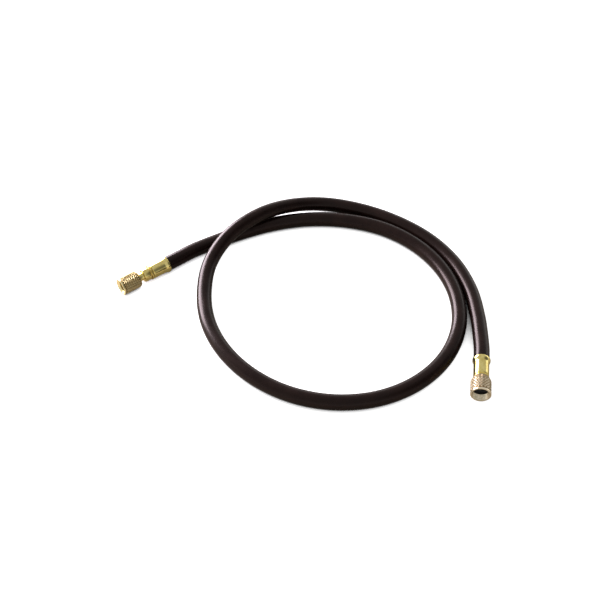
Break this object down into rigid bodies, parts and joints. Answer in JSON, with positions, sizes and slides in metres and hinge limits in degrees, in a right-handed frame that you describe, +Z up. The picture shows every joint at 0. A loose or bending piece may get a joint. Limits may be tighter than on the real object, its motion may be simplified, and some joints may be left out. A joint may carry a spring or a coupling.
{
  "type": "refrigerant charging hose",
  "caption": "Thick rubber charging hose lying in an open loop, with crimped brass ferrules, hose stems and knurled swivel flare nuts of two sizes at its ends.",
  "frame": {"origin": "on the floor, under the middle of the whole part's outline as it lies", "axes": "+Z up from the floor; +X along the longest side of the outline, from the smaller fitting towards the larger; +Y away from the picture's camera"},
  "size_m": [0.3239, 0.2499, 0.0275],
  "materials": {
    "hose_rubber": "smooth extruded dark brown-black rubber, satin",
    "ferrule_brass": "polished yellow brass",
    "stem_brass": "turned yellow brass, bright",
    "nut_brass": "knurled pale brass, satin",
    "gasket_rubber": "moulded black rubber, matt"
  },
  "bodies": {
    "hose_body": {"hose": "hose_rubber", "left_ferrule": "ferrule_brass", "left_stem": "stem_brass", "right_ferrule": "ferrule_brass", "right_stem": "stem_brass"},
    "left_gasket_body": {"left_gasket": "gasket_rubber"},
    "left_nut_body": {"left_nut": "nut_brass"},
    "right_gasket_body": {"right_gasket": "gasket_rubber"},
    "right_nut_body": {"right_nut": "nut_brass"}
  },
  "joints": [
    {"name": "left_nut_slide", "type": "slide", "parent": "hose_body", "child": "left_gasket_body", "axis": [0.7944, 0.6074, 0], "range_m": [0, 0.003]},
    {"name": "left_nut_spin", "type": "hinge", "parent": "left_gasket_body", "child": "left_nut_body", "pos_m": [-0.15749, 0.00907, 0.0078], "axis": [-0.7944, -0.6074, 0], "continuous": true},
    {"name": "right_nut_slide", "type": "slide", "parent": "hose_body", "child": "right_gasket_body", "axis": [-0.1305, -0.9914, 0], "range_m": [0, 0.0032]},
    {"name": "right_nut_spin", "type": "hinge", "parent": "right_gasket_body", "child": "right_nut_body", "pos_m": [0.14793, -0.11253, 0.0087], "axis": [-0.1305, -0.9914, 0], "continuous": true}
  ]
}
